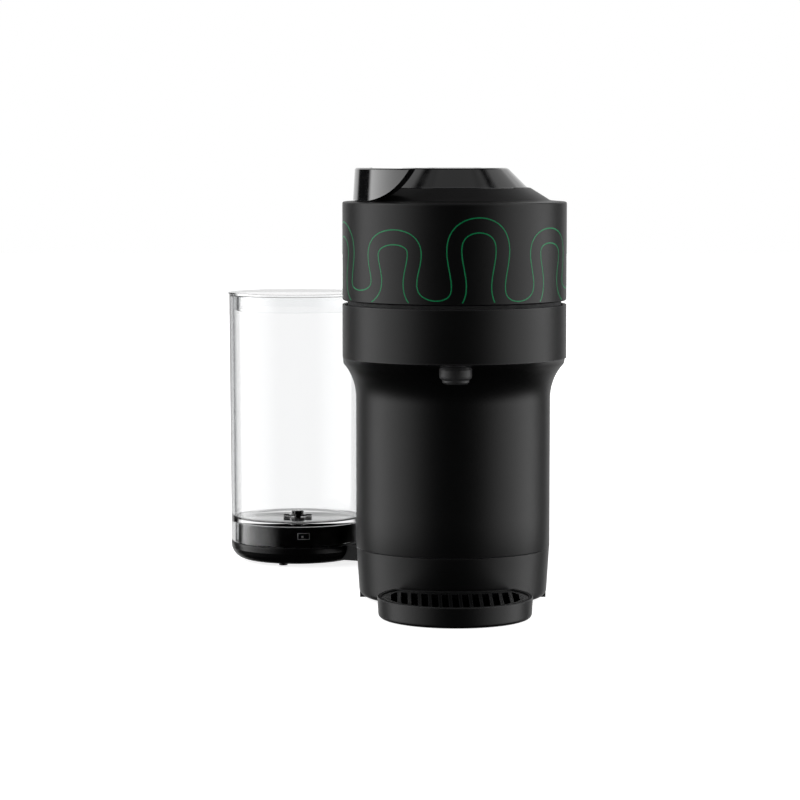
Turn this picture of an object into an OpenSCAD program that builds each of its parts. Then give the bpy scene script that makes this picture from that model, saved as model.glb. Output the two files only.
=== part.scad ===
// Pod coffee machine: round brew head on a column, swivelling water tank.
// Origin on the table under the head's axis, +X to the right, +Y to the rear.

/* [Body] */
// Radius of the drum-shaped brew head
head_r = 71.4; // [70:0.1:72]
// Radius of the column's round front and back
column_r = 63.4; // [62:0.1:64]
// Distance from the head's axis to the centre of the column's round front
column_front_y = 42; // [40:1:44]
// Distance from the head's axis to the centre of the column's round back
column_rear_y = 175; // [173:1:176]
// Thickness of the outer shells
wall = 2.4; // [2:0.1:2.6]

/* [Heights] */
// Line where the base shell meets the column
parting_z = 34; // [33:1:35]
// Height where the column starts to flare out to the head
neck_z = 131; // [129:1:132]
// Underside of the head
head_z = 161.2; // [160.5:0.1:162]
// Top of the head's lower ring
groove_z = 195.1; // [194.8:0.1:195.3]
// Underside of the opening lid
lid_z = 197.8; // [197.6:0.1:198]
// Top of the lid's rim
rim_z = 260.9; // [260:0.1:262]
// Top of the cap, the overall height
top_z = 281.6; // [281:0.1:282]

/* [Lever and button] */
// Outer radius of the lock lever at its foot
lever_r = 64.6; // [64:0.1:66]
// Thickness of the lock lever
lever_t = 10; // [9:0.5:11]
// Radius of the brew button
button_r = 13.8; // [13:0.1:13.9]

/* [Drip tray] */
// Radius of the drip tray
tray_r = 49; // [48:0.5:50]
// Distance of the drip tray's centre in front of the head's axis
tray_y = 41; // [40:1:42]
// Height of the drip tray's rim
tray_h = 13.3; // [13:0.1:14]

/* [Water tank] */
// Outer radius of the tank at its rim
tank_r = 48.4; // [47.5:0.1:48.6]
// Height of the tank's rim
tank_top_z = 189.7; // [186:0.1:190]
// Length of the swivelling arm, from the pivot to the tank's axis
arm_length = 117; // [116.8:0.1:119]
// Direction of the arm at rest, anticlockwise from +X
arm_angle = 157.4; // [156:0.1:158]

/* [Capsule] */
// Inner radius of the spinning capsule holder
capsule_r = 27.6; // [27:0.1:28]

/* [Hidden] */
$fn = 96;
gap = 0.3;

split_y = 95;
neck_reach = 50;
neck_h = head_z - neck_z;
flare_r = 42;
lip_t = 1.6;
neck_steps = 9;
arc_steps = 36;

spout_y = -45;
spout_r = 10.3;

pivot_z = 197;
pivot_y = 74;
pin_r = 2.5;
knuckle_r = 6;
knuckle_x = 36;
knuckle_w = 8;
ear_x = 46.5;
ear_w = 6;

gland_z = 24.6;
bay_z = 15.4;
boss_r = 12;
tank_x = arm_length * cos(arm_angle);
tank_y = column_rear_y + arm_length * sin(arm_angle);
tank_wall = 2.2;
tank_foot_r = 47.3;
tank_foot_z = 14.3;
tank_floor_z = 28.7;
tank_floor_t = 2.2;
cup_r = 47.5;
pedestal_r = 42.3;

motor_y = 62;
belt_z = 132.5;
belt_h = 6;
holder_core_r = 12;
motor_core_r = 7.4;
belt_t = 1.6;

pump_x = 22;
pump_z = 53.5;
meter_x = -28;
meter_y = 96;
chassis_z = 31;
chassis_t = 2.4;
deck_z = chassis_z + chassis_t;

screw_spots = [[-48, 50], [48, 50], [-48, 138], [48, 138]];

plastic = [0.11, 0.11, 0.12];
gloss = [0.03, 0.03, 0.035];
clear = [0.86, 0.89, 0.91, 0.35];
steel = [0.62, 0.63, 0.65];
rubber = [0.05, 0.05, 0.05];
board = [0.05, 0.3, 0.14];
white = [0.9, 0.9, 0.88];

// ---------- shared shapes ----------

// Outline of the body from above, inset from its outer face
module stadium(inset = 0) {
    r = column_r - inset;
    translate([0, column_front_y]) circle(r);
    translate([0, column_rear_y]) circle(r);
    translate([-r, column_front_y]) square([2 * r, column_rear_y - column_front_y]);
}

// Sweeps a wall profile, x outwards and y up, round the body's outline
module stadium_sweep() {
    translate([0, column_front_y, 0]) rotate(180) rotate_extrude(angle = 180) children();
    translate([0, column_rear_y, 0]) rotate_extrude(angle = 180) children();
    for (side = [0, 1])
        mirror([side, 0, 0])
            translate([0, column_rear_y, 0])
                rotate([90, 0, 0])
                    linear_extrude(column_rear_y - column_front_y) children();
}

module ring(outer_r, inner_r, z0, z1) {
    translate([0, 0, z0])
        difference() {
            cylinder(h = z1 - z0, r = outer_r);
            translate([0, 0, -1]) cylinder(h = z1 - z0 + 2, r = inner_r);
        }
}

module disc(r, z0, z1) {
    translate([0, 0, z0]) cylinder(h = z1 - z0, r = r);
}

// Box given by its lowest and highest corners
module block(low, high) {
    translate(low) cube(high - low);
}

// Round rod between two points
module rod(a, b, r) {
    d = b - a;
    translate(a)
        rotate([0, acos(d[2] / norm(d)), atan2(d[1], d[0])])
            cylinder(h = norm(d), r = r, $fn = 32);
}

function unit(v) = v / norm(v);

// Route with each corner rounded by a curve that starts at the given reach from it
function rounded(route, reach, steps = 4) = concat(
    [route[0]],
    [for (i = [1 : len(route) - 2])
        let (p = route[i],
             a = p + reach * unit(route[i - 1] - p),
             b = p + reach * unit(route[i + 1] - p))
            for (k = [0 : steps])
                let (u = k / steps)
                    (1 - u) * (1 - u) * a + 2 * u * (1 - u) * p + u * u * b],
    [route[len(route) - 1]]
);

// Side vectors carried along a list of headings without twist
function carried(headings, side, i = 0) = i == len(headings) ? []
    : let (h = headings[i], v = unit(side - (side * h) * h))
        concat([v], carried(headings, v, i + 1));

// Round tube through a list of points
module sweep(points, r, sides = 8) {
    last = len(points) - 1;
    headings = [
        for (i = [0 : last]) unit(points[min(i + 1, last)] - points[max(i - 1, 0)])
    ];
    start = abs(headings[0][2]) < 0.9 ? [0, 0, 1] : [1, 0, 0];
    across = carried(headings, start);
    corners = [
        for (i = [0 : last], j = [0 : sides - 1])
            let (a = 360 * j / sides, up = cross(headings[i], across[i]))
                points[i] + r * (cos(a) * across[i] + sin(a) * up)
    ];
    polyhedron(corners, concat(
        [[for (j = [0 : sides - 1]) j]],
        [[for (j = [sides - 1 : -1 : 0]) last * sides + j]],
        [for (i = [0 : last - 1], j = [0 : sides - 1])
            let (a = i * sides + j, b = i * sides + (j + 1) % sides)
                for (face = [[a, a + sides, b], [b, a + sides, b + sides]]) face]
    ));
}

// Points of an ellipse's arc, centred at c with half axes a, from one angle to another
function arc_points(c, a, from, to, steps = 6) = [
    for (i = [0 : steps])
        let (t = from + (to - from) * i / steps)
            [c[0] + a[0] * cos(t), c[1] + a[1] * sin(t)]
];

// Helical spring of round wire
module coil(r, wire_r, z0, height, turns) {
    steps = turns * 14;
    rise = height - 2 * wire_r;
    sweep([
        for (i = [0 : steps])
            let (turn = 360 * turns * i / steps)
                [r * cos(turn), r * sin(turn), z0 + wire_r + rise * i / steps]
    ], wire_r, 6);
}

// ---------- base ----------

// Space under the base that the tank's arm sweeps through
module arm_bay(grow = 0) {
    reach = 120;
    rise = reach * tan(180 - arm_angle);
    translate([0, column_rear_y]) {
        circle(25 + grow);
        polygon([
            [0, -18 - grow], [reach, rise - 18 - grow], [reach, 150],
            [-reach, 150], [-reach, rise - 18 - grow]
        ]);
    }
}

module base_profile() {
    corner = 4;
    foot_r = column_r - 2;
    polygon(concat(
        [[0, 2]],
        arc_points([foot_r - corner, 2 + corner], [corner, corner], -90, 0),
        [
            [column_r - 0.2, parting_z - 0.5],
            [column_r - 0.6, parting_z],
            [column_r - wall, parting_z],
            [foot_r - wall, 2 + corner],
            [foot_r - wall - 2, 2 + wall],
            [0, 2 + wall]
        ]
    ));
}

module base_shell() {
    color(plastic)
        difference() {
            union() {
                stadium_sweep() base_profile();
                intersection() {
                    translate([0, 0, 2.5]) linear_extrude(bay_z + wall - 2.5) stadium(3);
                    linear_extrude(40) arm_bay(wall);
                }
                translate([0, column_rear_y, 0]) disc(boss_r, 2, bay_z + 1);
                for (spot = screw_spots) translate(spot) disc(5, 3, 12);
            }
            difference() {
                translate([0, 0, -1]) linear_extrude(bay_z + 1) arm_bay();
                translate([0, column_rear_y, 0]) disc(boss_r, 0, bay_z + 2);
            }
            for (spot = screw_spots)
                translate(spot) {
                    disc(1.8, 0, 14);
                    disc(3.6, 0, 5);
                }
            for (side = [-1, 1])
                block([side * 57.5 - 3.6, 40.8, 0], [side * 57.5 + 3.6, 58.2, 6]);
            translate([0, column_rear_y, gland_z])
                rotate([0, 90, 45]) translate([0, 0, 50]) cylinder(h = 20, r = 5.3);
        }
}

module chassis() {
    color(plastic)
        difference() {
            union() {
                translate([0, 0, chassis_z]) linear_extrude(chassis_t) stadium(3.2);
                for (spot = screw_spots) translate(spot) disc(4.5, 12.2, chassis_z + 1);
            }
            for (spot = screw_spots) translate(spot) disc(1.5, 10, 28);
            translate([0, column_rear_y, 0]) disc(6, chassis_z - 1, deck_z + 1);
            translate([0, 8, 0]) disc(14, chassis_z - 1, deck_z + 1);
            translate([0, 62, 0]) disc(12, chassis_z - 1, deck_z + 1);
        }
}

module base_screws() {
    color(steel)
        for (spot = screw_spots)
            translate(spot)
                difference() {
                    union() {
                        disc(3.3, 2.6, 4.9);
                        disc(1.45, 4.8, 26);
                    }
                    for (turn = [0, 90])
                        rotate(turn) block([-1.8, -0.4, 2], [1.8, 0.4, 3.6]);
                }
}

module rubber_feet() {
    color(rubber) {
        disc(9, 0, 2);
        for (side = [-1, 1])
            block([side * 57.5 - 3.5, 41, 0], [side * 57.5 + 3.5, 58, 5.9]);
    }
}

module rear_foot() {
    color(rubber) translate([0, column_rear_y, 0]) disc(16, 0, 2);
}

module cable_gland() {
    color(rubber)
        translate([0, column_rear_y, gland_z])
            rotate([0, 90, 45])
                difference() {
                    union() {
                        translate([0, 0, 55.5]) cylinder(h = 10, r = 5.2);
                        translate([0, 0, 63.4]) cylinder(h = 2.1, r = 6.3);
                        translate([0, 0, 55.5]) cylinder(h = 3, r = 6.3);
                    }
                    translate([0, 0, 50]) cylinder(h = 20, r = 3.4);
                }
}

// ---------- column and head ----------

// Sideways flare of the neck at a height
function flare(z) = let (h = max(0, z - neck_z))
    h * h >= flare_r * flare_r ? head_r - column_r
        : min(head_r - column_r, flare_r - sqrt(flare_r * flare_r - h * h));

// One level outline of the neck, from the left rear edge round the front to the right
function neck_outline(t, z, inset) =
    let (k = 1 - cos(t),
         level = neck_z + neck_h * sin(t),
         side = column_r - inset,
         half_w = column_r + flare(level) - inset,
         centre_y = column_front_y * (1 - k),
         front_y = column_front_y - column_r - neck_reach * k + inset,
         half_d = centre_y - front_y,
         reach = 180 - asin(min(1, side / half_w)))
    concat(
        [[-side, split_y, z]],
        [for (i = [0 : arc_steps])
            let (a = -reach + 2 * reach * i / arc_steps)
                [half_w * sin(a), centre_y - half_d * cos(a), z]],
        [[side, split_y, z]]
    );

// Column front and neck as one curved shell
module neck_shell() {
    angles = [for (i = [0 : neck_steps]) 90 * i / neck_steps];
    rings = concat(
        [neck_outline(0, parting_z + 0.1, 0)],
        [for (t = angles) neck_outline(t, neck_z + neck_h * sin(t), 0)],
        [neck_outline(90, head_z, wall)],
        [neck_outline(90, head_z + wall, wall)],
        [for (i = [neck_steps : -1 : 0])
            let (t = angles[i])
                neck_outline(t, neck_z + (neck_h + wall) * sin(t), wall + lip_t * sin(t))],
        [neck_outline(0, parting_z + 0.1, wall)]
    );
    n = len(rings);
    m = len(rings[0]);
    points = [for (outline = rings) for (p = outline) p];
    sides = [
        for (i = [0 : n - 1], j = [0 : m - 2])
            let (a = i * m + j, b = ((i + 1) % n) * m + j)
                for (face = [[a, a + 1, b], [a + 1, b + 1, b]]) face
    ];
    left = [for (i = [0 : n / 2 - 2]) [n - 1 - i, n - 2 - i, i + 1, i]];
    polyhedron(points, concat(
        sides,
        [for (face = left) [for (k = [len(face) - 1 : -1 : 0]) face[k] * m]],
        [for (face = left) [for (i = face) i * m + m - 1]]
    ));
}

module column_cover() {
    color(plastic)
        intersection() {
            difference() {
                block([-80, -80, 30], [80, split_y + 5, 170]);
                translate([0, spout_y, 0]) disc(spout_r + gap, 140, 171);
            }
            neck_shell();
        }
}

module rear_housing() {
    color(plastic)
        difference() {
            translate([0, 0, parting_z + 0.1])
                linear_extrude(192.4 - parting_z - 0.1)
                    difference() {
                        stadium();
                        stadium(wall);
                    }
            block([-80, -40, 0], [80, split_y + 0.1, 200]);
            block([-46, 190, 71.6], [46, 250, 188]);
        }
}

module rear_cover() {
    color(plastic)
        translate([0, 0, 192.5])
            linear_extrude(2.5)
                difference() {
                    intersection() {
                        stadium();
                        translate([-80, 30.3]) square([160, 230]);
                    }
                    circle(head_r - 2);
                    for (side = [-1, 1])
                        translate([side * 44.3 - 10, 60]) square([20, 24]);
                }
}

module head_ring() {
    color(plastic)
        difference() {
            union() {
                disc(head_r, head_z, groove_z);
                block([-column_r, 0, head_z], [column_r, split_y, 192.4]);
            }
            disc(head_r - wall + 0.2, head_z - 1, groove_z + 1);
            block([-column_r + wall, 0, head_z - 1], [column_r - wall, split_y + 1, 200]);
            block([-column_r, 30, 192.4], [column_r, split_y, 200]);
        }
}

module head_gasket() {
    color(rubber)
        difference() {
            ring(68, 62, 192.6, 197.4);
            block([-33, 0, 190], [33, 90, 200]);
        }
}

// Bowl that catches the coffee thrown out of the spinning holder
module chamber_bowl() {
    color(plastic)
        difference() {
            rotate_extrude()
                polygon([
                    [13.05, 143], [17, 143], [17, 154.5], [33, 154.5], [35.6, 164],
                    [60.4, 164], [60.4, 190], [68.4, 190], [68.4, 192.5], [58, 192.5],
                    [58, 166.4], [33.6, 166.4], [31, 157], [13.05, 157]
                ]);
            block([-32, 0, 187], [32, 90, 200]);
            translate([0, spout_y, 0]) disc(4, 160, 170);
        }
}

module coffee_spout() {
    color(gloss)
        translate([0, spout_y, 0])
            difference() {
                rotate_extrude()
                    polygon([
                        [0, 147.6], [7.4, 147.6], [8.4, 148.6], [8.6, 150], [spout_r - 0.4, 151],
                        [spout_r, 152.2], [spout_r, 156.4], [spout_r - 0.6, 158.2], [9, 159],
                        [9, 163.9], [0, 163.9]
                    ]);
                disc(4, 149.4, 165);
                disc(2.2, 146, 150);
            }
}

// Outer race and balls of the holder's bearing
module holder_bearing() {
    color(steel) {
        ring(13, 10.6, 145, 153);
        for (i = [0 : 7]) rotate(45 * i) translate([9, 0, 149]) sphere(r = 1.55, $fn = 24);
    }
}

module barcode_reader() {
    color(gloss) {
        block([34.5, -8, 178], [45, 8, 187]);
        block([40, -5, 166.4], [44, 5, 178]);
    }
}

// Ramp for used capsules
module capsule_chute() {
    color(plastic)
        difference() {
            rotate([90, 0, 90])
                translate([0, 0, -33])
                    linear_extrude(66)
                        polygon([
                            [62, 182], [64, 180.2], [121, 162.4], [121, 176],
                            [96, 184], [62, 187]
                        ]);
            rotate([90, 0, 90])
                translate([0, 0, -31])
                    linear_extrude(62)
                        polygon([[60, 185.2], [122, 165.6], [122, 190], [60, 190]]);
        }
}

module hinge_bracket() {
    color(steel)
        for (side = [0, 1])
            mirror([side, 0, 0])
                difference() {
                    union() {
                        translate([ear_x, pivot_y, pivot_z])
                            rotate([0, 90, 0]) cylinder(h = ear_w, r = knuckle_r);
                        block([ear_x, pivot_y - 6, 176], [ear_x + ear_w, pivot_y + 6, pivot_z]);
                        block([ear_x, pivot_y - 6, 176], [60.5, 90, 182]);
                    }
                    translate([ear_x - 1, pivot_y, pivot_z])
                        rotate([0, 90, 0]) cylinder(h = ear_w + 2, r = pin_r);
                }
}

module hinge_pins() {
    color(steel)
        for (side = [0, 1])
            mirror([side, 0, 0])
                translate([knuckle_x - 1.5, pivot_y, pivot_z])
                    rotate([0, 90, 0]) cylinder(h = 18.5, r = pin_r);
}

// ---------- drive ----------

module motor_case() {
    color(steel)
        translate([0, motor_y, 0])
            difference() {
                union() {
                    disc(19, 62, 121.8);
                    disc(5, 121.8, 126);
                }
                disc(17.4, 64, 119.8);
                disc(2.55, 119, 127);
                disc(1.6, 62.6, 66);
            }
}

module motor_bracket() {
    color(steel)
        difference() {
            block([-59.8, 36, 121.9], [59.8, 92, 124.3]);
            translate([0, motor_y, 0]) disc(5.2, 120, 130);
            for (side = [-1, 1])
                translate([side * 44, 70, 0]) disc(7, 120, 130);
        }
}

module motor_rotor() {
    color(steel)
        translate([0, motor_y, 0]) {
            disc(15, 70, 114);
            disc(2.5, 113.9, 142);
            disc(1.5, 64.4, 70.1);
        }
}

// Flanged belt pulley
module pulley(core_r, bore_r) {
    difference() {
        union() {
            disc(core_r, belt_z - 1.4, belt_z + belt_h + 1.4);
            disc(core_r + 2.2, belt_z - 1.5, belt_z - 0.2);
            disc(core_r + 2.2, belt_z + belt_h + 0.2, belt_z + belt_h + 1.5);
        }
        disc(bore_r, 120, 150);
    }
}

module motor_pulley() {
    color(white) translate([0, motor_y, 0]) pulley(motor_core_r, 2.5);
}

module holder_pulley() {
    color(white) pulley(holder_core_r, 5);
}

// Outline of a loop round both pulleys, at a distance from their cores
function belt_outline(out) =
    let (big = holder_core_r + out,
         small = motor_core_r + out,
         lean = asin((big - small) / motor_y))
    concat(
        arc_points([0, 0], [big, big], 180 - lean, 360 + lean, 40),
        arc_points([0, motor_y], [small, small], lean, 180 - lean, 30)
    );

module drive_belt() {
    color(rubber)
        translate([0, 0, belt_z])
            linear_extrude(belt_h)
                difference() {
                    polygon(belt_outline(0.2 + belt_t));
                    polygon(belt_outline(0.2));
                }
}

module capsule_holder() {
    color(steel)
        rotate_extrude()
            polygon([
                [0, 128.5], [5, 128.5], [5, 158], [25, 158], [27.5, 161], [29.6, 193],
                [32.4, 193.4], [32.4, 196], [capsule_r, 196], [25.6, 162.4],
                [24.2, 160.4], [4, 160.4], [4, 164], [2.6, 165.4], [0, 165.4]
            ]);
}

// ---------- water path ----------

module heater() {
    color(steel)
        translate([0, 8, 0]) {
            difference() {
                disc(23.5, 62, 122);
                for (i = [0 : 8]) ring(30, 22, 66 + 6 * i, 68 + 6 * i);
            }
            translate([12, 0, 0]) disc(3, 56, 62.1);
            translate([12, 0, 0]) disc(3, 121.9, 128);
        }
}

module pump_case() {
    color(steel)
        difference() {
            union() {
                block([pump_x - 16.5, 134, pump_z - 16.5], [pump_x + 16.5, 184, pump_z + 16.5]);
                rod([pump_x, 112, pump_z], [pump_x, 135, pump_z], 8);
                rod([pump_x, 183, pump_z], [pump_x, 200, pump_z], 8);
                rod([pump_x, 104, pump_z], [pump_x, 113, pump_z], 3);
                rod([pump_x, 199, pump_z], [pump_x, 207, pump_z], 3);
            }
            rod([pump_x, 140, pump_z], [pump_x, 180, pump_z], 6);
        }
}

module pump_piston() {
    color(steel) rod([pump_x, 147, pump_z], [pump_x, 173, pump_z], 5.9);
}

module pump_mounts() {
    color(rubber)
        for (y = [118, 189])
            difference() {
                block([pump_x - 12, y, deck_z], [pump_x + 12, y + 7, pump_z + 11]);
                rod([pump_x, y - 1, pump_z], [pump_x, y + 8, pump_z], 8);
            }
}

module flow_meter_case() {
    color(gloss)
        difference() {
            union() {
                translate([meter_x, meter_y, 0]) disc(14, deck_z, 50);
                rod([meter_x, meter_y - 13, 42], [meter_x, meter_y - 22, 42], 3);
                rod([meter_x, meter_y + 13, 42], [meter_x, meter_y + 22, 42], 3);
            }
            translate([meter_x, meter_y, 0]) disc(12, 35.6, 47.8);
        }
}

module flow_meter_rotor() {
    color(white)
        translate([meter_x, meter_y, 0])
            difference() {
                union() {
                    disc(4, 36, 47.4);
                    for (i = [0 : 5])
                        rotate(60 * i) block([3, -0.8, 37], [11, 0.8, 46]);
                }
                disc(1, 35, 37.5);
            }
}

module supply_hose() {
    color(white)
        sweep(rounded([
            [0, column_rear_y, 18], [0, column_rear_y, 40], [-20, 160, 40],
            [meter_x, 135, 42], [meter_x, meter_y + 22.1, 42]
        ], 8), 3);
}

module pump_hose() {
    color(white)
        sweep(rounded([
            [meter_x, meter_y - 22.1, 42], [meter_x, meter_y - 36, 42], [20, 56, 42],
            [49, 80, 44], [49, 200, 50], [38, 219, pump_z], [pump_x, 220, pump_z],
            [pump_x, 207.1, pump_z]
        ], 6), 3);
}

module heater_hose() {
    color(white)
        sweep(rounded([
            [pump_x, 103.9, pump_z], [pump_x, 86, pump_z], [18, 30, 50],
            [12, 8, 44], [12, 8, 55.9]
        ], 8), 3);
}

module control_board() {
    color(board)
        difference() {
            union() {
                block([-52, 122, 46], [-6, 198, 47.6]);
                for (x = [-48, -10], y = [126, 194])
                    translate([x, y, 0]) disc(3, deck_z, 46.1);
            }
            for (x = [-48, -10], y = [126, 194]) translate([x, y, 0]) disc(1.2, 40, 50);
        }
}

module board_parts() {
    color(gloss) {
        for (i = [0 : 2]) block([-48, 134 + 18 * i, 47.6], [-34, 146 + 18 * i, 58]);
        for (i = [0 : 3]) translate([-24, 136 + 14 * i, 0]) disc(4, 47.6, 60);
        block([-16, 150, 47.6], [-9, 176, 52]);
    }
}

// ---------- lid ----------

module lid_shell() {
    color(plastic)
        difference() {
            rotate_extrude()
                polygon(concat(
                    [[head_r - wall, lid_z], [head_r - 0.6, lid_z], [head_r, lid_z + 0.6]],
                    arc_points([head_r - 1.2, rim_z - 1.8], [1.2, 1.2], 0, 90, 4),
                    [[62, rim_z], [60.2, 261.5], [58.4, 262.7], [48.2, 269], [47.5, 269.1]],
                    [[45.2, 268.6], [45.2, 264], [50, 258.5], [head_r - wall, 258.5]]
                ));
            for (side = [-1, 1])
                block([side * 40 - 4.1, 40, lid_z - 1], [side * 40 + 4.1, 75, 213.2]);
        }
}

// Inner plate of the lid with the tube that carries the clamp's bearing
module lid_liner() {
    color(gloss)
        rotate_extrude()
            polygon([
                [37.4, 199], [68.5, 199], [68.5, 201.4], [40.4, 201.4], [40.4, 222.4],
                [13.05, 222.4], [13.05, 209], [16, 209], [16, 220], [38.2, 220],
                [38.2, 201], [37.4, 201]
            ]);
}

module lid_hinge_arms() {
    color(steel)
        for (side = [0, 1])
            mirror([side, 0, 0])
                translate([knuckle_x, 0, 0])
                    rotate([90, 0, 90])
                        linear_extrude(knuckle_w)
                            difference() {
                                union() {
                                    translate([pivot_y, pivot_z]) circle(knuckle_r);
                                    polygon([
                                        [46, 207.4], [61, 207.4], [68.2, 198], [79.7, 198.5],
                                        [73, 209], [67, 213], [46, 213]
                                    ]);
                                }
                                translate([pivot_y, pivot_z]) circle(pin_r + 0.05);
                            }
}

module clamp_bearing() {
    color(steel) {
        ring(13, 10.6, 210, 218);
        for (i = [0 : 7]) rotate(45 * i) translate([9, 0, 214]) sphere(r = 1.55, $fn = 24);
    }
}

module clamp_plate() {
    color(steel)
        rotate_extrude()
            polygon([
                [1.5, 201], [8, 201], [8, 200.4], [36.8, 200.4], [36.8, 203.6],
                [10, 205], [7.2, 208], [7.2, 219], [1.5, 219]
            ]);
}

module injector() {
    color(steel) {
        difference() {
            disc(7.9, 198.4, 201);
            disc(1.5, 190, 202);
        }
        for (i = [0 : 2])
            rotate(120 * i)
                translate([4.5, 0, 192.5])
                    union() {
                        cylinder(h = 2.6, r1 = 0.2, r2 = 0.9, $fn = 24);
                        translate([0, 0, 2.5]) cylinder(h = 3.5, r = 0.9, $fn = 24);
                    }
    }
}

module clamp_seal() {
    color(rubber) ring(31, 26, 197.4, 200.4);
}

// ---------- lever, cap and button ----------

module lever_cap() {
    color(gloss)
        rotate_extrude()
            polygon([
                [43.2, 269.4], [46, 269.4], [34.4, 280.9], [33, top_z], [17.7, top_z],
                [17.7, 278.8], [31.6, 278.8], [41.4, 269.4]
            ]);
}

// Point of a cubic curve through its four control points
function bezier(p, u) = let (w = 1 - u)
    w * w * w * p[0] + 3 * w * w * u * p[1] + 3 * w * u * u * p[2] + u * u * u * p[3];

// Curved lever on the left of the head, bridged over the shoulder to the cap
module lock_lever() {
    foot_z = rim_z + 0.5;
    inner_r = lever_r - lever_t;
    sweep_line = [[-37, foot_z - 0.4], [-18, 262.5], [-8, 269], [0.6, top_z + 1]];
    color(gloss)
        difference() {
            union() {
                rotate(162)
                    rotate_extrude(angle = 81)
                        polygon([
                            [inner_r + 7, foot_z], [lever_r, foot_z],
                            [lever_r - 1.2, top_z - 0.8], [lever_r - 2, top_z],
                            [inner_r + 0.6, top_z], [inner_r, top_z - 0.6],
                            [inner_r, foot_z + 4.5]
                        ]);
                rotate(166)
                    rotate_extrude(angle = 40)
                        polygon([
                            [inner_r + 1, 269.8], [inner_r + 1, top_z - 0.6],
                            [30, top_z - 0.6], [40, 269.8]
                        ]);
            }
            rotate([90, 0, -27])
                linear_extrude(80)
                    polygon(concat(
                        [for (i = [0 : 10]) bezier(sweep_line, i / 10)],
                        [[60, top_z + 1], [60, 250], [-37, 250]]
                    ));
            rotate_extrude()
                polygon([[0, 260], [46.05, 260], [46.05, 269.4], [33.05, top_z + 1], [0, 290]]);
        }
}

// Ring that locks the lid, turned by the lever
module lock_ring() {
    color(gloss)
        union() {
            rotate_extrude()
                polygon([
                    [41.6, 203.4], [60, 203.4], [60, 206], [44, 206], [44, 269.3],
                    [41.6, 269.3]
                ]);
            for (i = [0 : 2])
                rotate(120 * i + 30)
                    rotate_extrude(angle = 24)
                        polygon([[59.9, 203.4], [64, 203.4], [64, 206], [59.9, 206]]);
        }
}

module button_housing() {
    color(gloss)
        rotate_extrude()
            polygon([
                [14.2, 272], [16, 272], [16, 276.6], [26, 276.6], [26, 278.7],
                [14.2, 278.7]
            ]);
}

module button_board() {
    color(board) disc(20, 270.4, 271.9);
}

module led_ring() {
    color(white) ring(17.6, 14.2, 278.8, top_z - 0.2);
}

module brew_button() {
    color(gloss)
        rotate_extrude()
            polygon(concat(
                [[0, 277.6], [button_r - 0.1, 277.6], [button_r, top_z - 0.5]],
                [[button_r - 0.5, top_z - 0.1], [button_r - 2.4, top_z]],
                [[0, top_z - 0.7]]
            ));
}

module button_spring() {
    color(steel) coil(6, 0.35, 274, 3.5, 3);
}

// ---------- drip tray ----------

// Disc of the tray with a hollow back that fits round the column
module tray_plan(r, z0, z1, back) {
    difference() {
        translate([0, -tray_y, 0]) disc(r, z0, z1);
        translate([0, column_front_y, 0]) disc(column_r + back, z0 - 1, z1 + 1);
    }
}

module drip_tray() {
    corner = 2.5;
    color(plastic)
        difference() {
            translate([0, -tray_y, 0])
                rotate_extrude()
                    polygon(concat(
                        [[0, 0.2]],
                        arc_points([tray_r - 0.6 - corner, 0.2 + corner], [corner, corner], -90, 0),
                        [[tray_r, tray_h - 0.4], [tray_r - 0.4, tray_h], [0, tray_h]]
                    ));
            translate([0, column_front_y, 0]) disc(column_r + 1, -1, tray_h + 1);
            tray_plan(tray_r - 3, 2.6, 8, 4);
            tray_plan(tray_r - wall, 7.9, tray_h + 1, 3.2);
        }
}

module drip_grid() {
    grid_r = tray_r - wall - 0.4;
    color(gloss)
        difference() {
            tray_plan(grid_r, 10, 12.6, 3.7);
            intersection() {
                tray_plan(grid_r - 4, 9, 14, 8);
                for (i = [-6 : 6])
                    block([i * 6.4 - 2.1, -100, 9], [i * 6.4 + 2.1, 40, 14]);
            }
        }
}

// ---------- used capsules ----------

// Plan of the container, narrowed from the body's outline
module container_plan(half_w, front_y, inset) {
    intersection() {
        stadium(inset);
        translate([-half_w, front_y]) square([2 * half_w, 150]);
    }
}

module capsule_container() {
    color(plastic)
        difference() {
            union() {
                translate([0, 0, 78])
                    linear_extrude(82)
                        difference() {
                            container_plan(43, 124, 0.6);
                            container_plan(41, 126, 2.6);
                        }
                translate([0, 0, 76]) linear_extrude(2.1) container_plan(43, 124, 0.6);
                translate([0, 0, 72])
                    linear_extrude(115.6)
                        difference() {
                            container_plan(45.6, 190, 0);
                            container_plan(50, 180, wall);
                        }
            }
            block([-19, 225, 166], [19, 245, 179]);
        }
}

// ---------- water tank ----------

module at_tank() {
    translate([tank_x, tank_y, 0]) children();
}

module tank_arm() {
    bend = 11;
    color(gloss)
        difference() {
            union() {
                at_tank()
                    rotate_extrude()
                        polygon(concat(
                            [[0, 1.4]],
                            arc_points([cup_r - bend, 1.4 + bend], [bend, bend], -90, 0),
                            [[cup_r, 14], [0, 14]]
                        ));
                at_tank()
                    for (i = [0 : 2]) rotate(120 * i - 105) translate([35, 0, 0]) disc(3, 0.3, 3);
                translate([0, column_rear_y, 0]) {
                    disc(21, 3, 13.8);
                    rotate(arm_angle) block([14, -15, 3.2], [arm_length - cup_r + bend, 15, 13.6]);
                }
            }
            at_tank()
                rotate_extrude()
                    polygon([
                        [0, 4], [cup_r - bend, 4], [cup_r - wall, 12], [cup_r - wall, 15], [0, 15]
                    ]);
            translate([0, column_rear_y, 0]) {
                disc(boss_r + 0.08, 0, 20);
                rotate(arm_angle)
                    block([24, -12.6, 5.4], [arm_length - cup_r - 4, 12.6, 11.4]);
            }
        }
}

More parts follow.
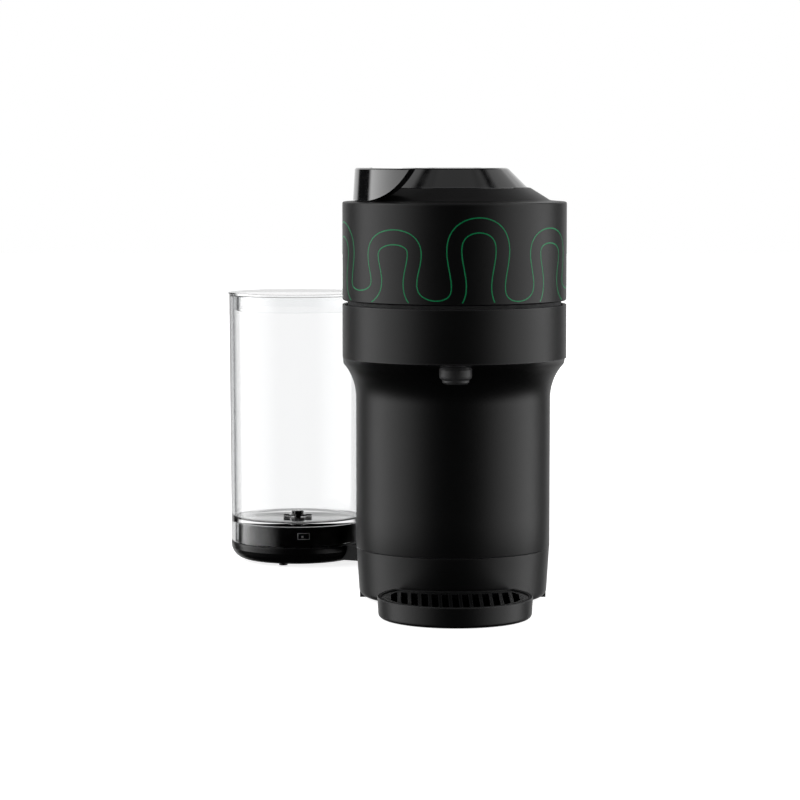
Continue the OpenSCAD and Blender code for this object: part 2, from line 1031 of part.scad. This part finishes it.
module tank_pedestal() {
    color(gloss)
        at_tank()
            difference() {
                rotate_extrude()
                    polygon([
                        [6.1, 28.3], [pedestal_r - 1, 28.3], [pedestal_r, 27.3],
                        [pedestal_r, 14.6], [cup_r - wall - 0.2, 14], [cup_r - wall - 0.2, 12.6],
                        [pedestal_r - 1.8, 12.6], [pedestal_r - 1.8, 26.3], [6.1, 26.3]
                    ]);
                rotate(arm_angle + 180)
                    block([pedestal_r - 3, -14, 10], [pedestal_r + 8, 14, 13.85]);
            }
}

module tank_connector() {
    color(rubber)
        at_tank()
            difference() {
                union() {
                    disc(6, 20, 28.4);
                    disc(9, 22, 26.2);
                    disc(3.2, 4, 20.1);
                }
                disc(2.5, 6, 30);
            }
}

module water_tank() {
    floor_top = tank_floor_z + tank_floor_t;
    color(clear)
        at_tank()
            rotate_extrude()
                polygon([
                    [pedestal_r + 1.8, tank_foot_z], [tank_foot_r, tank_foot_z],
                    [tank_r, tank_top_z], [tank_r - tank_wall, tank_top_z],
                    [tank_foot_r - tank_wall, floor_top + 1.2],
                    [tank_foot_r - tank_wall - 1.2, floor_top],
                    [5.2, floor_top], [5.2, tank_floor_z], [pedestal_r + 1.8, tank_floor_z]
                ]);
}

module tank_lid() {
    skirt_r = 44.2;
    color(clear)
        at_tank() {
            rotate_extrude()
                polygon([
                    [0, 190], [skirt_r - 1.6, 190], [skirt_r - 1.6, 178.7], [skirt_r, 178.7],
                    [skirt_r, 189.9], [49, 189.9], [49, 191.2], [48.4, 191.8], [0, 191.8]
                ]);
        }
}

// Spring-loaded poppet in the tank's outlet
module tank_valve() {
    color(gloss)
        at_tank() {
            rotate_extrude()
                polygon([
                    [0, 28.8], [2.4, 28.8], [2.4, 31.2], [6.6, 31.2], [6.6, 32.2],
                    [4.2, 32.8], [4.2, 34.4], [3.6, 35], [0, 35]
                ]);
            block([-10, -1.5, 31.2], [10, 1.5, 32.4]);
        }
}

base_shell();
chassis();
column_cover();
rear_housing();
rear_cover();
head_ring();
head_gasket();
chamber_bowl();
coffee_spout();
holder_bearing();
barcode_reader();
capsule_chute();
hinge_bracket();
hinge_pins();
motor_case();
motor_bracket();
drive_belt();
heater();
pump_case();
pump_mounts();
flow_meter_case();
control_board();
board_parts();
supply_hose();
pump_hose();
heater_hose();
cable_gland();
base_screws();
rubber_feet();
rear_foot();
lid_shell();
lid_liner();
lid_hinge_arms();
clamp_bearing();
lever_cap();
lock_lever();
lock_ring();
button_housing();
button_board();
led_ring();
brew_button();
button_spring();
capsule_holder();
holder_pulley();
clamp_plate();
injector();
clamp_seal();
motor_rotor();
motor_pulley();
pump_piston();
flow_meter_rotor();
drip_tray();
drip_grid();
capsule_container();
tank_arm();
tank_pedestal();
tank_connector();
water_tank();
tank_lid();
tank_valve();
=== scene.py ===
"""Pod coffee machine: detailed pieces, materials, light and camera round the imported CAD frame."""

import math

import bmesh
import bpy
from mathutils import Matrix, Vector


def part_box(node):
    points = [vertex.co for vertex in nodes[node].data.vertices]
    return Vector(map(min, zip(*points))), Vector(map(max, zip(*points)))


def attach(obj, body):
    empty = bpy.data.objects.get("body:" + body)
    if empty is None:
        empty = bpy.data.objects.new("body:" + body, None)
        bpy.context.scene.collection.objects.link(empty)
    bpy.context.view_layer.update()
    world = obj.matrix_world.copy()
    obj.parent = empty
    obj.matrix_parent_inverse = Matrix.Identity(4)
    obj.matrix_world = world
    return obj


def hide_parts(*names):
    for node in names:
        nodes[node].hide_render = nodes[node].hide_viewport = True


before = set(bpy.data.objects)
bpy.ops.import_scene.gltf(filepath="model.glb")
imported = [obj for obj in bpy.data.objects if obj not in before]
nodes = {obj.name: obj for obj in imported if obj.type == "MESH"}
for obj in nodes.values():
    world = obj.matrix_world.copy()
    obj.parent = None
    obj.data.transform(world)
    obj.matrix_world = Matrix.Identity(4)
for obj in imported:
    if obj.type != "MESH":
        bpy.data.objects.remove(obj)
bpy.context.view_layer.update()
scene = bpy.context.scene
MM = 0.001


# ---------- places taken from the frame ----------

def axis_of(node):
    """Middle of a node's box, seen from above."""
    low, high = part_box(node)
    return (low.x + high.x) / 2, (low.y + high.y) / 2


drum_low, drum_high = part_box("lid_shell")
drum_r = (drum_high.x - drum_low.x) / 2
cover_low, cover_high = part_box("column_cover")
ring_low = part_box("head_ring")[0]
housing_low, housing_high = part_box("rear_housing")
tank_axis = axis_of("water_tank")
spout_low, spout_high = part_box("coffee_spout")


# ---------- materials ----------

class Nodes:
    """A material whose nodes are added one call at a time."""

    def __init__(self, name):
        self.material = bpy.data.materials.new(name)
        self.material.use_nodes = True
        self.tree = self.material.node_tree
        self.shader = self.tree.nodes["Principled BSDF"]
        self.place = self.add("ShaderNodeTexCoord").outputs["Object"]

    def add(self, kind, **settings):
        node = self.tree.nodes.new(kind)
        for key, value in settings.items():
            setattr(node, key, value)
        return node

    def link(self, a, b):
        self.tree.links.new(a, b)

    def set(self, **values):
        for key, value in values.items():
            self.shader.inputs[key.replace("_", " ")].default_value = value

    def noise(self, scale, detail=3.0, roughness=0.55, stretch=(1, 1, 1)):
        mapping = self.add("ShaderNodeMapping")
        mapping.inputs["Scale"].default_value = stretch
        self.link(self.place, mapping.inputs["Vector"])
        node = self.add("ShaderNodeTexNoise")
        node.inputs["Scale"].default_value = scale
        node.inputs["Detail"].default_value = detail
        node.inputs["Roughness"].default_value = roughness
        self.link(mapping.outputs[0], node.inputs["Vector"])
        return node.outputs["Fac"]

    def ramp(self, source, low, high, start=0.3, end=0.7):
        """Maps source from start..end to low..high, numbers or colours."""
        if isinstance(low, tuple):
            node = self.add("ShaderNodeValToRGB")
            node.color_ramp.elements[0].position = start
            node.color_ramp.elements[1].position = end
            node.color_ramp.elements[0].color = (*low, 1)
            node.color_ramp.elements[1].color = (*high, 1)
            self.link(source, node.inputs["Fac"])
            return node.outputs["Color"]
        node = self.add("ShaderNodeMapRange")
        for key, value in (("From Min", start), ("From Max", end), ("To Min", low), ("To Max", high)):
            node.inputs[key].default_value = value
        self.link(source, node.inputs["Value"])
        return node.outputs["Result"]

    def mix(self, factor, a, b):
        node = self.add("ShaderNodeMix", data_type="RGBA")
        self.link(factor, node.inputs["Factor"])
        for socket, value in ((node.inputs[6], a), (node.inputs[7], b)):
            if isinstance(value, tuple):
                socket.default_value = (*value, 1)
            else:
                self.link(value, socket)
        return node.outputs[2]

    def bump(self, height, strength, distance, under=None):
        node = self.add("ShaderNodeBump")
        node.inputs["Strength"].default_value = strength
        node.inputs["Distance"].default_value = distance
        self.link(height, node.inputs["Height"])
        if under is not None:
            self.link(under, node.inputs["Normal"])
        return node.outputs["Normal"]

    def edges(self):
        """1 along outer edges, where another face is a short way off inside, and 0 elsewhere."""
        inside = self.add("ShaderNodeAmbientOcclusion", samples=6, inside=True, only_local=True)
        inside.inputs["Distance"].default_value = 0.0008
        return self.ramp(inside.outputs["AO"], 1.0, 0.0, 0.55, 0.95)

    def to(self, socket, source):
        self.link(source, self.shader.inputs[socket])


def moulded(name, dark, light, rough, grain, depth, wear=(0.02, 0.02, 0.021), shine=0.22):
    """Moulded plastic: spark-eroded grain, slow shade and roughness changes, paler worn edges."""
    m = Nodes(name)
    shade = m.ramp(m.noise(9), dark, light)
    worn = m.mix(m.edges(), shade, wear)
    m.to("Base Color", worn)
    m.to("Roughness", m.ramp(m.noise(60, 4), rough - 0.01, rough + 0.012))
    fine = m.bump(m.noise(grain, 2, 0.6), 0.35, depth)
    m.to("Normal", m.bump(m.noise(35, 2), 0.08, 0.0004, fine))
    m.set(IOR=1.5, Specular_IOR_Level=shine)
    return m.material


def gloss(name, dark, light):
    """Polished plastic with faint swirls and slow waves from moulding."""
    m = Nodes(name)
    m.to("Base Color", m.mix(m.edges(), m.ramp(m.noise(12), dark, light), (0.012, 0.012, 0.013)))
    m.to("Roughness", m.ramp(m.noise(220, 5, 0.7), 0.07, 0.16, 0.35, 0.75))
    m.to("Normal", m.bump(m.noise(55, 2), 0.06, 0.0003))
    m.set(IOR=1.53, Coat_Weight=0.3, Coat_Roughness=0.03)
    return m.material


def rubber(name):
    m = Nodes(name)
    m.to("Base Color", m.ramp(m.noise(40), (0.008, 0.008, 0.009), (0.02, 0.02, 0.021)))
    m.to("Roughness", m.ramp(m.noise(300, 3), 0.66, 0.82))
    m.to("Normal", m.bump(m.noise(1500, 2), 0.5, 0.0001))
    m.set(IOR=1.45)
    return m.material


def metal(name, dark, light, stretch, rough):
    """Drawn or cast metal: streaks along its working direction and bright edges."""
    m = Nodes(name)
    streaks = m.noise(900, 3, 0.6, stretch)
    shade = m.mix(streaks, dark, light)
    m.to("Base Color", m.mix(m.edges(), shade, (0.8, 0.8, 0.8)))
    m.to("Roughness", m.ramp(streaks, rough - 0.07, rough + 0.1))
    m.to("Normal", m.bump(streaks, 0.15, 0.00005))
    m.set(Metallic=1.0)
    return m.material


def circuit(name):
    """Solder mask with the copper runs showing through as paler lines."""
    m = Nodes(name)
    bricks = m.add("ShaderNodeTexBrick")
    m.link(m.place, bricks.inputs["Vector"])
    for key, value in (("Scale", 260.0), ("Mortar Size", 0.06), ("Brick Width", 1.3)):
        bricks.inputs[key].default_value = value
    bricks.inputs["Color1"].default_value = (0.004, 0.05, 0.02, 1)
    bricks.inputs["Color2"].default_value = (0.006, 0.065, 0.026, 1)
    bricks.inputs["Mortar"].default_value = (0.02, 0.13, 0.05, 1)
    m.to("Base Color", bricks.outputs["Color"])
    m.to("Roughness", m.ramp(m.noise(300), 0.3, 0.45))
    m.to("Normal", m.bump(bricks.outputs["Fac"], 0.3, 0.00005))
    return m.material


def clear(name):
    """Clear plastic with rubbing marks and slight waves, and painted shade that darkens it where a
    standing wall turns away from view.
    """
    m = Nodes(name)
    turned = m.ramp(m.add("ShaderNodeLayerWeight").outputs["Facing"], 0.0, 1.0, 0.6, 0.8)
    normal = m.add("ShaderNodeSeparateXYZ")
    m.link(m.add("ShaderNodeNewGeometry").outputs["Normal"], normal.inputs[0])
    lying = m.add("ShaderNodeMath", operation="ABSOLUTE")
    m.link(normal.outputs["Z"], lying.inputs[0])
    painted_edge_shade = m.add("ShaderNodeMath", operation="MULTIPLY")
    m.link(m.ramp(lying.outputs[0], 1.0, 0.0, 0.1, 0.4), painted_edge_shade.inputs[0])
    m.link(turned, painted_edge_shade.inputs[1])
    # Painted shade: the glass colour turns dark grey where a standing wall is seen edge-on.
    m.to("Base Color", m.mix(painted_edge_shade.outputs[0], (0.992, 0.995, 0.997), (0.3, 0.31, 0.32)))
    m.to("Roughness", m.ramp(m.noise(400, 4, 0.7), 0.01, 0.045, 0.45, 0.75))
    m.to("Normal", m.bump(m.noise(45, 2), 0.05, 0.0003))
    m.set(IOR=1.3, Transmission_Weight=1.0)
    return m.material


def white(name, soft):
    m = Nodes(name)
    m.to("Base Color", m.ramp(m.noise(25), (0.7, 0.7, 0.68), (0.8, 0.8, 0.78)))
    m.to("Roughness", m.ramp(m.noise(150), 0.35, 0.5))
    m.to("Normal", m.bump(m.noise(900), 0.2, 0.00005))
    m.set(Subsurface_Weight=soft, Subsurface_Radius=(0.004, 0.004, 0.004), IOR=1.46)
    return m.material


def ink(name, dark, light):
    """Screen-printed line: slightly raised, with tiny gaps in coverage."""
    m = Nodes(name)
    m.to("Base Color", m.ramp(m.noise(1800), dark, light))
    m.to("Roughness", m.ramp(m.noise(300), 0.35, 0.5))
    m.to("Normal", m.bump(m.noise(2500), 0.3, 0.00002))
    m.set(Specular_IOR_Level=0.2)
    return m.material


MATERIALS = {
    "matte_black": moulded("matte_black", (0.001, 0.001, 0.0011), (0.0016, 0.0016, 0.0017),
                           0.41, 1500, 0.00012),
    "gloss_black": gloss("gloss_black", (0.0018, 0.0018, 0.002), (0.0028, 0.0028, 0.003)),
    "black_rubber": rubber("black_rubber"),
    "steel": metal("steel", (0.42, 0.42, 0.43), (0.6, 0.6, 0.61), (1, 1, 0.06), 0.3),
    "aluminium": metal("aluminium", (0.5, 0.5, 0.51), (0.66, 0.66, 0.67), (1, 1, 1), 0.45),
    "green_board": circuit("green_board"),
    "white_plastic": white("white_plastic", 0.0),
    "hose": white("hose", 0.35),
    "clear_plastic": clear("clear_plastic"),
}
dark_steel = metal("dark_steel", (0.03, 0.03, 0.031), (0.06, 0.06, 0.061), (1, 1, 0.2), 0.42)
# Painted reflection: the spout's black is lifted to dark grey to stand in for the soft sheen on its glossy
# surface.
spout_painted_sheen = moulded("spout_painted_sheen", (0.03, 0.03, 0.031), (0.036, 0.036, 0.037), 0.45, 1800, 0.0001)
SATIN_SHADES = ((0.0014, 0.0014, 0.0015), (0.0022, 0.0022, 0.0023))
base_black = moulded("base_black", *SATIN_SHADES, 0.27, 1200, 0.00006)
pedestal_black = moulded("pedestal_black", *SATIN_SHADES, 0.34, 1200, 0.00006, shine=0.06)
electrode = metal("electrode", (0.16, 0.16, 0.161), (0.26, 0.26, 0.261), (1, 1, 1), 0.5)
green_ink = ink("green_ink", (0.0015, 0.155, 0.052), (0.002, 0.2, 0.068))

SPECIAL = {
    "hinge_bracket": dark_steel,
    "lid_hinge_arms": dark_steel,
    "coffee_spout": spout_painted_sheen,
    "tank_arm": base_black,
    "tank_pedestal": pedestal_black,
}

for name, node in nodes.items():
    for slot in node.material_slots:
        slot.material = SPECIAL.get(name, MATERIALS[slot.material.name])


# ---------- making pieces ----------

def piece(name, mesh, material, body, slot, *replaced):
    """A named piece that rides on a body and stands for the CAD nodes named after it."""
    obj = bpy.data.objects.new(name, mesh)
    scene.collection.objects.link(obj)
    mesh.materials.append(material)
    mesh.polygons.foreach_set("use_smooth", [True] * len(mesh.polygons))
    mesh.set_sharp_from_angle(angle=math.radians(32))
    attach(obj, body)
    if replaced:
        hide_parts(*replaced)
    return obj


def mesh_of(name, corners, faces):
    mesh = bpy.data.meshes.new(name)
    mesh.from_pydata(corners, [], faces)
    mesh.validate()
    return mesh


def outward(mesh):
    """Turns every face of a closed mesh outwards."""
    made = bmesh.new()
    made.from_mesh(mesh)
    bmesh.ops.recalc_face_normals(made, faces=made.faces)
    made.to_mesh(mesh)
    made.free()
    return mesh


def strip_faces(first, last):
    """Faces of a four-cornered strip whose sections start at corner first, closed at both ends."""
    faces = []
    for i in range(last):
        a, b = first + 4 * i, first + 4 * i + 4
        faces += [(a + j, a + (j + 1) % 4, b + (j + 1) % 4, b + j) for j in range(4)]
    end = first + 4 * last
    faces += [(first + 3, first + 2, first + 1, first), (end, end + 1, end + 2, end + 3)]
    return faces


def cut(name, mesh, cutters):
    """The mesh less the cutter meshes, which are then thrown away."""
    base = bpy.data.objects.new(name, mesh)
    scene.collection.objects.link(base)
    tools = []
    for i, cutter in enumerate(cutters):
        tool = bpy.data.objects.new(f"{name}.cutter{i}", cutter)
        scene.collection.objects.link(tool)
        modifier = base.modifiers.new("cut", "BOOLEAN")
        modifier.object = tool
        modifier.solver = "EXACT"
        tools.append(tool)
    bpy.context.view_layer.update()
    shape = base.evaluated_get(bpy.context.evaluated_depsgraph_get())
    result = bpy.data.meshes.new_from_object(shape)
    result.name = name
    for obj in (base, *tools):
        bpy.data.objects.remove(obj)
    result.materials.clear()
    return result


def rounded(corners, steps=6):
    """Outline in mm with its corners rounded; each corner is (radius, height, rounding)."""
    points = []
    for i, (r, z, size) in enumerate(corners):
        here = Vector((r, z))
        before = Vector(corners[i - 1][:2]) - here
        after = Vector(corners[(i + 1) % len(corners)][:2]) - here
        if size == 0:
            points.append(here)
            continue
        for k in range(steps + 1):
            t = k / steps
            points.append(here + size * ((1 - t) ** 2 * before.normalized() + t ** 2 * after.normalized()))
    return [(p.x * MM, p.y * MM) for p in points]


def lathe(name, outline, middle, steps=144):
    """A closed outline turned round an upright axis; points on the axis are shared."""
    corners, rows = [], []
    for r, z in outline:
        row = []
        for k in range(1 if r == 0 else steps):
            a = 2 * math.pi * k / steps
            row.append(len(corners))
            corners.append((middle[0] + r * math.cos(a), middle[1] + r * math.sin(a), z))
        rows.append(row if r else row * steps)
    faces = []
    for i, row in enumerate(rows):
        other = rows[(i + 1) % len(rows)]
        for j in range(steps):
            k = (j + 1) % steps
            face = list(dict.fromkeys((row[j], row[k], other[k], other[j])))
            if len(face) > 2:
                faces.append(face)
    return outward(mesh_of(name, corners, faces))


# ---------- column cover ----------

COLUMN_R = (housing_high.x - housing_low.x) / 2
FRONT_Y = 42 * MM
NECK_Z = 131 * MM
NECK_REACH = 50 * MM
FLARE_R = 42 * MM
WALL = 2.4 * MM
LIP = 1.6 * MM
OUTLINE_STEPS = 120
NECK_STEPS = 30


def neck_outline(t, z, inset):
    """Open outline of the column at a height, t being 0 on the column and 90 degrees at the head."""
    k = 1 - math.cos(t)
    level = NECK_Z + (ring_low.z - NECK_Z) * math.sin(t)
    h = max(0.0, level - NECK_Z)
    flare = min(drum_r - COLUMN_R, FLARE_R - math.sqrt(max(0.0, FLARE_R ** 2 - h * h)))
    side = COLUMN_R - inset
    half_w = COLUMN_R + flare - inset
    centre_y = FRONT_Y * (1 - k)
    half_d = centre_y - (FRONT_Y - COLUMN_R - NECK_REACH * k + inset)
    reach = math.pi - math.asin(min(1.0, side / half_w))
    points = [(-side, cover_high.y, z)]
    for i in range(OUTLINE_STEPS + 1):
        a = -reach + 2 * reach * i / OUTLINE_STEPS
        points.append((half_w * math.sin(a), centre_y - half_d * math.cos(a), z))
    points.append((side, cover_high.y, z))
    return points


def column_skin():
    """The curved shell of the column and neck, wall thickness and all, with a hole for the spout."""
    edge = 0.5 * MM
    low = cover_low.z
    neck_h = ring_low.z - NECK_Z
    angles = [math.pi / 2 * i / NECK_STEPS for i in range(NECK_STEPS + 1)]
    rings = [neck_outline(0, low, edge), neck_outline(0, low + 0.15 * edge, 0.4 * edge),
             neck_outline(0, low + edge, 0)]
    rings += [neck_outline(0, low + (NECK_Z - low) * f, 0) for f in (0.25, 0.5, 0.75)]
    rings += [neck_outline(t, NECK_Z + neck_h * math.sin(t), 0) for t in angles]
    rings += [neck_outline(math.pi / 2, ring_low.z, WALL),
              neck_outline(math.pi / 2, ring_low.z + WALL, WALL)]
    rings += [neck_outline(t, NECK_Z + (neck_h + WALL) * math.sin(t), WALL + LIP * math.sin(t))
              for t in reversed(angles)]
    rings.append(neck_outline(0, low, WALL))
    count = len(rings[0])
    corners = [p for ring in rings for p in ring]
    faces = []
    for i in range(len(rings)):
        a, b = i * count, (i + 1) % len(rings) * count
        faces += [(a + j, a + j + 1, b + j + 1, b + j) for j in range(count - 1)]
    for end, flip in ((0, 1), (count - 1, -1)):
        faces.append(tuple([i * count + end for i in range(len(rings))][::flip]))
    mesh = outward(mesh_of("column_skin", corners, faces))
    spout_r = (spout_high.x - spout_low.x) / 2
    hole = round_bar("spout_hole", axis_of("coffee_spout"), spout_r + 0.3 * MM, 140 * MM, 171 * MM)
    return cut("column_skin", mesh, [hole])


def round_bar(name, middle, radius, z0, z1, steps=64):
    ring = [(middle[0] + radius * math.cos(2 * math.pi * i / steps),
             middle[1] + radius * math.sin(2 * math.pi * i / steps)) for i in range(steps)]
    corners = [(x, y, z0) for x, y in ring] + [(x, y, z1) for x, y in ring]
    faces = [(i, (i + 1) % steps, steps + (i + 1) % steps, steps + i) for i in range(steps)]
    faces += [tuple(range(steps - 1, -1, -1)), tuple(range(steps, 2 * steps))]
    return mesh_of(name, corners, faces)


piece("column_skin", column_skin(), MATERIALS["matte_black"], "machine", "matte_black", "column_cover")


# ---------- water tank ----------

TANK_SHELL = [
    (44.1, 14.3, 0.5), (47.3, 14.3, 0.7), (48.4, 189.7, 0.7), (46.2, 189.7, 0.7), (45.1, 31.0, 2.6),
    (5.2, 30.9, 0.6), (5.2, 28.7, 0.4), (44.1, 28.7, 0.8),
]
TANK_COVER = [
    (0, 190, 0), (42.6, 190, 1.0), (42.6, 178.7, 0.6), (44.2, 178.7, 0.6), (44.2, 189.9, 0.4),
    (49, 189.9, 0.9), (49, 191.8, 0.15), (0, 191.8, 0),
]

piece("tank_shell", lathe("tank_shell", rounded(TANK_SHELL), tank_axis),
      MATERIALS["clear_plastic"], "tank", "clear_plastic", "water_tank")
piece("tank_cover", lathe("tank_cover", rounded(TANK_COVER), tank_axis),
      MATERIALS["clear_plastic"], "tank_lid", "clear_plastic", "tank_lid")


# ---------- sensor window on the tank's pedestal ----------

PEDESTAL_R = 42.3 * MM
WINDOW = (1.2 * MM, 9.8 * MM, 19.4 * MM, 24.2 * MM)
WINDOW_LINE = 0.6 * MM


def curved_bars(name, bars, radius, middle, proud, sunk, steps=8):
    """Thin raised bars on the front of a drum; each is (x0, x1, z0, z1) measured along its face."""
    corners, faces = [], []
    for x0, x1, z0, z1 in bars:
        first = len(corners)
        for i in range(steps + 1):
            a = (x0 + (x1 - x0) * i / steps) / radius
            for rise, z in ((-sunk, z0), (proud, z0 + sunk), (proud, z1 - sunk), (-sunk, z1)):
                r = radius + rise
                corners.append((middle[0] + r * math.sin(a), middle[1] - r * math.cos(a), z))
        faces += strip_faces(first, steps)
    return mesh_of(name, corners, faces)


def sensor_window():
    x0, x1, z0, z1 = WINDOW
    bars = [
        (x0, x1, z1 - WINDOW_LINE, z1),
        (x0, x0 + WINDOW_LINE, z0, z1),
        (x1 - WINDOW_LINE, x1, z0, z1),
        (x0, x1, z0, z0 + WINDOW_LINE),
        (x0 + 2.6 * MM, x0 + 4.2 * MM, z0 + 1.3 * MM, z0 + 2.9 * MM),
    ]
    return curved_bars("sensor_window", bars, PEDESTAL_R, tank_axis, 0.2 * MM, 0.1 * MM)


piece("sensor_window", sensor_window(), electrode, "arm", "gloss_black")


# ---------- printed lines on the lid's band ----------

HUMPS = 8
STROKE = 9.2 * MM
INK_H = 0.03 * MM


def band_path(humps, middle, height, swell, offset, steps=2400):
    """One edge of a broad wandering stroke round the band, as (angle, height) pairs."""
    middle_line = []
    for i in range(steps):
        u = 2 * math.pi * i / steps
        tall = height * (0.84 + 0.16 * math.sin(3 * u + 0.9))
        along = drum_r * (u - swell / humps * math.sin(2 * humps * u))
        middle_line.append((along, middle + tall * math.sin(humps * u)))
    length = 2 * math.pi * drum_r
    line = []
    for i, (along, z) in enumerate(middle_line):
        before, after = middle_line[i - 1], middle_line[(i + 1) % steps]
        run = (math.remainder(after[0] - before[0], length), after[1] - before[1])
        size = math.hypot(*run)
        line.append(((along - run[1] / size * offset) / drum_r, z + run[0] / size * offset))
    return line


def runs_above(line, floor_z):
    """Stretches of a closed line that lie above a height, each an open list of points."""
    start = next(i for i, p in enumerate(line) if p[1] <= floor_z)
    runs, current = [], []
    for point in line[start:] + line[:start + 1]:
        if point[1] > floor_z:
            current.append(point)
        elif current:
            runs.append(current)
            current = []
    return [run for run in runs if len(run) > 8]


def ribbons(name, lines, width):
    """Thin raised strips that follow open lines on the drum, closed at both ends."""
    corners, faces = [], []
    for line in lines:
        first = len(corners)
        last = len(line) - 1
        for i, (angle, z) in enumerate(line):
            before, after = line[max(i - 1, 0)], line[min(i + 1, last)]
            run = (math.remainder(after[0] - before[0], 2 * math.pi) * drum_r, after[1] - before[1])
            size = math.hypot(*run)
            side = (-run[1] / size * width / 2 / drum_r, run[0] / size * width / 2)
            for s, rise in ((1, -INK_H), (0.8, INK_H), (-0.8, INK_H), (-1, -INK_H)):
                a = angle + s * side[0]
                r = drum_r + rise
                corners.append((r * math.sin(a), -r * math.cos(a), z + s * side[1]))
        faces += strip_faces(first, last)
    return mesh_of(name, corners, faces)


def printed_lines():
    low = drum_low.z + 1.2 * MM
    lines = []
    for offset in (-STROKE / 2, STROKE / 2):
        lines += runs_above(band_path(HUMPS, low + 21 * MM, 27 * MM, 0.78, offset), low)
    return ribbons("band_lines", lines, 0.8 * MM)


piece("band_lines", printed_lines(), green_ink, "lid", "matte_black")


# ---------- stage, light and camera ----------

def stage_floor():
    mesh = mesh_of("floor", [(-6, -6, 0), (6, -6, 0), (6, 6, 0), (-6, 6, 0)], [(0, 1, 2, 3)])
    floor = bpy.data.objects.new("floor", mesh)
    floor.location.z = -0.0002
    scene.collection.objects.link(floor)
    m = Nodes("floor")
    seen = m.add("ShaderNodeLightPath").outputs["Is Camera Ray"]
    m.to("Base Color", m.ramp(m.noise(3), (0.7, 0.7, 0.7), (0.72, 0.72, 0.72)))
    m.set(Roughness=0.9, Emission_Color=(1, 1, 1, 1), Emission_Strength=0.84, Specular_IOR_Level=0.0)
    either = m.add("ShaderNodeMixShader")
    m.link(seen, either.inputs[0])
    m.link(m.add("ShaderNodeBsdfTransparent").outputs[0], either.inputs[1])
    m.link(m.shader.outputs[0], either.inputs[2])
    m.link(either.outputs[0], m.tree.nodes["Material Output"].inputs["Surface"])
    mesh.materials.append(m.material)


def studio_world():
    """White all round to the eye; as a light, bright behind, soft above and dark in front."""
    world = bpy.data.worlds.new("studio")
    scene.world = world
    world.use_nodes = True
    tree = world.node_tree
    link = tree.links.new

    def add(kind, **settings):
        node = tree.nodes.new(kind)
        for key, value in settings.items():
            setattr(node, key, value)
        return node

    def math_node(operation, a, b=None):
        node = add("ShaderNodeMath", operation=operation)
        for socket, value in zip(node.inputs, (a, b)):
            if isinstance(value, (int, float)):
                socket.default_value = value
            elif value is not None:
                link(value, socket)
        return node.outputs[0]

    axes = add("ShaderNodeSeparateXYZ")
    link(add("ShaderNodeTexCoord").outputs["Generated"], axes.inputs[0])
    up = axes.outputs["Z"]
    front = math_node("MULTIPLY", axes.outputs["Y"], -1.0)
    turn = math_node("ARCTAN2", math_node("ABSOLUTE", axes.outputs["X"]), front)

    def step(source, start, end, low=0.0, high=1.0):
        node = add("ShaderNodeMapRange", interpolation_type="SMOOTHSTEP")
        node.inputs["From Min"].default_value = start
        node.inputs["From Max"].default_value = end
        node.inputs["To Min"].default_value = low
        node.inputs["To Max"].default_value = high
        link(source, node.inputs["Value"])
        return node.outputs["Result"]

    def degrees(start, end, low=0.0, high=1.0):
        """A step over the angle from straight in front, the same on both sides."""
        return step(turn, math.radians(start), math.radians(end), low, high)

    def product(*factors):
        total = factors[0]
        for factor in factors[1:]:
            total = math_node("MULTIPLY", total, factor)
        return total

    sides = product(degrees(28, 66), degrees(110, 118, 1, 0), degrees(60, 110, 2.25, 4.1),
                    step(up, -0.55, -0.25), step(up, 0.75, 0.95, 1, 0))
    behind = product(degrees(141, 149), step(up, -0.6, -0.3), step(up, 0.35, 0.6, 0.95, 0.0))
    upper = product(degrees(110, 122), degrees(148, 160, 1, 0),
                    step(up, 0.35, 0.5), step(up, 0.78, 0.86, 0.7, 0))
    above = step(up, 0.88, 0.97, 0.01, 0.4)
    light = math_node("ADD", math_node("ADD", sides, behind), math_node("ADD", upper, above))
    path = add("ShaderNodeLightPath")
    bounces = math_node("ADD", path.outputs["Glossy Depth"], path.outputs["Diffuse Depth"])
    unbounced = math_node("LESS_THAN", bounces, 0.5)
    straight = math_node("MULTIPLY", path.outputs["Is Transmission Ray"], unbounced)
    stripes = step(math_node("COSINE", math_node("MULTIPLY", turn, 8.0)), -1.0, -0.7, 0.1, 1.0)
    below = step(math_node("MULTIPLY", up, -1.0), 0.17, 0.24)
    through = math_node("MULTIPLY", straight, math_node("MAXIMUM", stripes, below))
    seen = math_node("MAXIMUM", path.outputs["Is Camera Ray"], through)
    lamp = math_node("MULTIPLY", light, math_node("SUBTRACT", 1.0, straight))
    strength = math_node("MAXIMUM", lamp, seen)
    background = tree.nodes["Background"]
    background.inputs["Color"].default_value = (1, 1, 1, 1)
    link(strength, background.inputs["Strength"])
    world.cycles.sampling_method = "MANUAL"
    world.cycles.sample_map_resolution = 1024


def studio():
    stage_floor()
    studio_world()
    scene.view_settings.view_transform = "Standard"


CAMERA_PLACE = (-0.0347, -1.880, 0.298)
CAMERA_TILT = 85.0
CAMERA_LENS = 132.75


def camera():
    lens = bpy.data.cameras.new("camera")
    lens.sensor_width = 36
    lens.lens = CAMERA_LENS
    eye = bpy.data.objects.new("camera", lens)
    eye.location = CAMERA_PLACE
    eye.rotation_euler = (math.radians(CAMERA_TILT), 0, 0)
    scene.collection.objects.link(eye)
    scene.camera = eye


studio()
camera()
